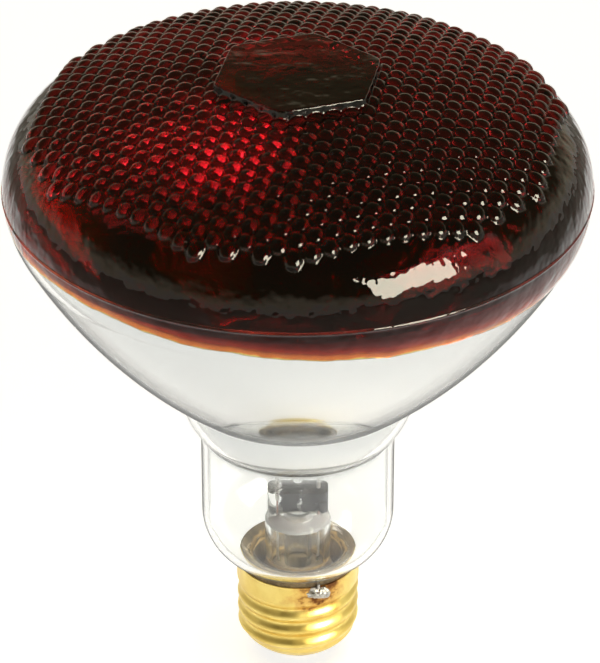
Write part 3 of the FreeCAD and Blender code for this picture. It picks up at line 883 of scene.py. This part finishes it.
def brass_look(solder_place):
    """Rolled brass with light tarnish, fine scratches and flux stains round the solder."""
    look = Look("brass")
    patch = look.spread(look.noise(140.0, 5.0), 0.35, 0.7, 0.0, 1.0)
    tone = look.blend(patch, (0.84, 0.67, 0.22), (0.7, 0.5, 0.12))
    away = look.ragged(look.distance(solder_place), look.noise(420.0), 3.0)
    orange = look.spread(away, 2.0 * MM, 8.0 * MM, 0.8, 0.0)
    brown = look.spread(away, 2.0 * MM, 4.2 * MM, 0.9, 0.0)
    tone = look.blend(orange, tone, (0.5, 0.17, 0.03))
    tone = look.blend(brown, tone, (0.1, 0.03, 0.01))
    rough = look.spread(look.noise(320.0, 5.0), 0.35, 0.7, 0.28, 0.46)
    metal = look.principled(
        Base_Color=tone, Metallic=1.0, Roughness=rough, Normal=look.bump(look.noise(500.0), 0.00004)
    )
    return look.finish(metal.outputs[0])


def metal_look(name, dull, bright, rough, grain=400.0):
    look = Look(name)
    patch = look.noise(grain)
    tone = look.blend(look.spread(patch, 0.35, 0.65, 0.0, 1.0), dull, bright)
    finish = look.spread(patch, 0.3, 0.7, rough * 0.7, rough * 1.3)
    metal = look.principled(
        Base_Color=tone, Metallic=1.0, Roughness=finish, Normal=look.bump(patch, 0.00005)
    )
    return look.finish(metal.outputs[0])


def black_glass_look():
    look = Look("black_glass")
    dust = look.spread(look.noise(500.0), 0.5, 0.75, 0.0, 1.0)
    tone = look.blend(dust, (0.012, 0.012, 0.014), (0.06, 0.055, 0.05))
    glass = look.principled(Base_Color=tone, Roughness=look.spread(dust, 0.0, 1.0, 0.08, 0.4))
    return look.finish(glass.outputs[0])


# Studio


def floor_look():
    """White paper with a painted pool of light, which glows round the lamp and dims further out."""
    look = Look("pale_floor")
    mottle = look.spread(look.noise(6.0), 0.3, 0.7, 0.86, 0.9)
    tone = look.node("ShaderNodeCombineColor", Red=mottle, Green=mottle, Blue=mottle).outputs["Color"]
    # Painted pool of light: the paper glows strongly round the lamp and fades to a faint glow further
    # out.
    glow = look.spread(look.distance(LIT_MIDDLE), LIT_REACH, DIM_REACH, 0.78, 0.06)
    paper = look.principled(
        Base_Color=tone, Roughness=0.9, Emission_Color=(1.0, 1.0, 1.0), Emission_Strength=glow
    )
    return look.finish(paper.outputs[0])


def make_floor():
    mesh = bpy.data.meshes.new("floor")
    signs = ((-1, -1), (1, -1), (1, 1), (-1, 1))
    corners = [(across * FLOOR_REACH, along * FLOOR_REACH, 0) for across, along in signs]
    mesh.from_pydata(corners, [], [(0, 1, 2, 3)])
    mesh.materials.append(floor_look())
    in_scene("floor", mesh)


def soft_box(name, turn, lift, distance, size, power, colour, reaches):
    """A rectangular lamp that faces the bulb from a turn and a height angle in degrees.

    It reaches only the named kinds of surface: plain ones, glossy ones and those seen through glass.
    """
    lamp = bpy.data.lights.new(name, "AREA")
    lamp.shape = "RECTANGLE"
    lamp.size, lamp.size_y = size
    lamp.energy = power
    lamp.color = colour
    box = in_scene(name, lamp)
    turn, lift = math.radians(turn), math.radians(lift)
    level = math.cos(lift)
    heading = Vector((math.cos(turn) * level, math.sin(turn) * level, math.sin(lift)))
    box.location = heading * distance + UP_Z * LAMP_AIM
    box.rotation_euler = heading.to_track_quat("Z", "Y").to_euler()
    box.visible_glossy = "glossy" in reaches
    box.visible_transmission = "glass" in reaches
    box.visible_diffuse = "plain" in reaches
    box.visible_camera = False


def make_world():
    """A dim studio: pale near the horizon, dark brown overhead."""
    world = bpy.data.worlds.new("studio")
    bpy.context.scene.world = world
    world.use_nodes = True
    tree = world.node_tree
    tree.nodes.clear()
    places = tree.nodes.new("ShaderNodeTexCoord")
    split = tree.nodes.new("ShaderNodeSeparateXYZ")
    ramp = tree.nodes.new("ShaderNodeValToRGB")
    ground = tree.nodes.new("ShaderNodeBackground")
    output = tree.nodes.new("ShaderNodeOutputWorld")
    tree.links.new(places.outputs["Generated"], split.inputs[0])
    tree.links.new(split.outputs["Z"], ramp.inputs[0])
    tree.links.new(ramp.outputs[0], ground.inputs[0])
    tree.links.new(ground.outputs[0], output.inputs[0])
    set_stops(ramp.color_ramp, (
        (0.0, (0.7, 0.67, 0.58)),
        (0.12, (0.78, 0.71, 0.5)),
        (0.4, (0.13, 0.11, 0.06)),
        (1.0, (0.1, 0.085, 0.05)),
    ))


def make_exposure():
    bpy.context.scene.view_settings.view_transform = "Standard"


def make_camera():
    lens = bpy.data.cameras.new("camera")
    lens.lens = CAMERA_LENS
    camera = in_scene("camera", lens)
    camera.location = CAMERA_PLACE
    camera.rotation_euler = (math.radians(90 - CAMERA_DIP), 0, 0)
    bpy.context.scene.camera = camera


# Put it together


def dress(nodes, name, material):
    """Gives a CAD node that stays in view its material."""
    node = nodes[name]
    node.data.materials.clear()
    node.data.materials.append(material)
    node.data.shade_smooth()


def fit(piece, replaced, material):
    """A piece of the visual model that stands for one or more CAD nodes."""
    piece.data.materials.append(material)
    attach(piece, "root")
    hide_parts(*replaced)


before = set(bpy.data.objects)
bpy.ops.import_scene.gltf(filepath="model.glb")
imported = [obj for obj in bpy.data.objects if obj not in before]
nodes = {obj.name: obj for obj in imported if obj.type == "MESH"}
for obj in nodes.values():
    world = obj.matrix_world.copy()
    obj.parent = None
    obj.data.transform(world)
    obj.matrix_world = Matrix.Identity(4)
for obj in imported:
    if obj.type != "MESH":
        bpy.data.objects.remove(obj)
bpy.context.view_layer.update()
solder_low, solder_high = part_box("rim_solder")

fit(make_envelope(), ["bulb_glass", "neck_glass"], clear_glass_look())
fit(make_ruby(), ["ruby_coating"], ruby_look())
fit(make_mirror(), ["reflector_coating"], mirror_look())

dress(nodes, "stem_flare", stem_glass_look("flare_glass", FLARE_CEMENT_LEVEL))
stem_glass = stem_glass_look("stem_glass")
for name in ("exhaust_tube", "arbor"):
    dress(nodes, name, stem_glass)
dress(nodes, "stem_press", press_look())
nickel = metal_look("nickel_wire", (0.5, 0.48, 0.45), (0.66, 0.64, 0.6), 0.3)
copper = metal_look("seal_wire", (0.45, 0.14, 0.07), (0.6, 0.2, 0.1), 0.35)
tinned = metal_look("lead_wire", (0.42, 0.41, 0.39), (0.62, 0.6, 0.57), 0.35)
for side in ("left", "right"):
    dress(nodes, f"inner_lead_{side}", nickel)
    dress(nodes, f"seal_wire_{side}", copper)
for name in ("side_outer_lead", "centre_outer_lead"):
    dress(nodes, name, tinned)
dress(nodes, "filament", metal_look("tungsten", (0.2, 0.2, 0.21), (0.34, 0.34, 0.35), 0.4))
dress(nodes, "filament_supports", metal_look("molybdenum", (0.38, 0.38, 0.39), (0.5, 0.5, 0.51), 0.35))
fit(make_cement(), ["basing_cement"], cement_look())
brass = brass_look((solder_low + solder_high) / 2)
dress(nodes, "screw_shell", brass)
dress(nodes, "contact_plate", brass)
dress(nodes, "base_insulator", black_glass_look())
solder = metal_look("solder", (0.34, 0.33, 0.31), (0.62, 0.61, 0.58), 0.3, 900.0)
dress(nodes, "centre_solder", solder)
fit(make_solder(solder_low, solder_high), ["rim_solder"], solder)

make_floor()
make_world()
soft_box("strip", -45, 26, 1.5, (0.85, 0.66), 31.0, (1.0, 0.95, 0.76), ["glossy"])
soft_box("glow", -28, 24, 1.5, (1.2, 1.1), 90.0, (1.0, 0.95, 0.9), ["glass"])
soft_box("rear_glow", 145, 57, 1.5, (0.9, 0.8), 22.0, (1.0, 0.95, 0.9), ["glass"])
soft_box("fill", 90, 75, 1.2, (1.6, 1.6), 3.6, (1.0, 0.96, 0.9), ["plain"])
make_camera()
make_exposure()
